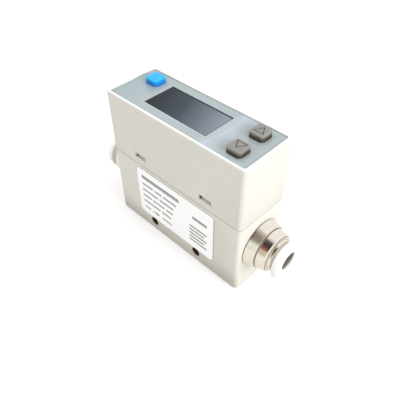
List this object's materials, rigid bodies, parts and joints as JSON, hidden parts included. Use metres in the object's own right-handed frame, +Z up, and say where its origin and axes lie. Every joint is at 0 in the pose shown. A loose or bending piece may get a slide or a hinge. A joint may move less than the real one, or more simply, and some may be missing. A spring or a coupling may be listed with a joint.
{
  "type": "thermal mass flow meter",
  "caption": "Slim box-shaped gas flow meter with a display window and push keys on top, through holes for mounting, and push-in tube fittings with release collars on its ends.",
  "frame": {"origin": "middle of the underside of the lower body", "axes": "+X runs with the flow from the inlet to the outlet, +Z is up towards the display, and the label faces -Y"},
  "size_m": [0.0772, 0.02, 0.0505],
  "materials": {
    "housing": "fine moulded texture",
    "keypad_film": "printed film",
    "display_plate": "smoked, glossy",
    "display_glass": "clear",
    "light_guide": "white",
    "blue_key": "silky",
    "grey_key": "silky",
    "nickel": "bright nickel plating on turned brass",
    "white_collar": "smooth white",
    "spring_steel": "stamped",
    "screw_steel": "zinc plated",
    "seal": "matt black",
    "circuit_board": "solder mask",
    "black_plastic": "moulded",
    "pin": "gold plated",
    "chip": "matt",
    "label": "white film label"
  },
  "bodies": {
    "housing": {"backlight": "light_guide", "board_link": "black_plastic", "board_screw_back": "screw_steel", "board_screw_front": "screw_steel", "board_screw_left": "screw_steel", "bypass_gasket": "seal", "connector_pins": "pin", "connector_socket": "black_plastic", "display_film": "keypad_film", "display_window": "display_plate", "down_switch": "black_plastic", "fitting_body_in": "nickel", "fitting_body_out": "nickel", "fitting_clip_in": "spring_steel", "fitting_clip_out": "spring_steel", "fitting_oring_in": "seal", "fitting_oring_out": "seal", "flow_element": "light_guide", "grip_ring_in": "spring_steel", "grip_ring_out": "spring_steel", "guide_ring_in": "nickel", "guide_ring_out": "nickel", "inlet_screen": "spring_steel", "latch_frame": "housing", "lcd_glass": "display_glass", "link_pins": "pin", "lower_body": "housing", "main_board": "circuit_board", "name_label": "label", "outlet_screen": "spring_steel", "sensor_board": "circuit_board", "sensor_chip": "chip", "sensor_screw_left": "screw_steel", "sensor_screw_right": "screw_steel", "set_switch": "black_plastic", "tube_seal_in": "seal", "tube_seal_out": "seal", "up_switch": "black_plastic", "upper_case": "housing"},
    "set_key": {"set_button": "blue_key", "set_plunger": "black_plastic"},
    "up_key": {"up_button": "grey_key", "up_plunger": "black_plastic"},
    "down_key": {"down_button": "grey_key", "down_plunger": "black_plastic"},
    "inlet_collar": {"release_collar_in": "white_collar"},
    "outlet_collar": {"release_collar_out": "white_collar"}
  },
  "joints": [
    {"name": "set_key_press", "type": "slide", "parent": "housing", "child": "set_key", "axis": [0, 0, -1], "range_m": [0, 0.0004], "stiffness_N_per_m": 1200},
    {"name": "up_key_press", "type": "slide", "parent": "housing", "child": "up_key", "axis": [0, 0, -1], "range_m": [0, 0.0004], "stiffness_N_per_m": 1200},
    {"name": "down_key_press", "type": "slide", "parent": "housing", "child": "down_key", "axis": [0, 0, -1], "range_m": [0, 0.0004], "stiffness_N_per_m": 1200},
    {"name": "inlet_collar_push", "type": "slide", "parent": "housing", "child": "inlet_collar", "axis": [1, 0, 0], "range_m": [0, 0.0008], "stiffness_N_per_m": 800},
    {"name": "outlet_collar_push", "type": "slide", "parent": "housing", "child": "outlet_collar", "axis": [-1, 0, 0], "range_m": [0, 0.0008], "stiffness_N_per_m": 800}
  ]
}
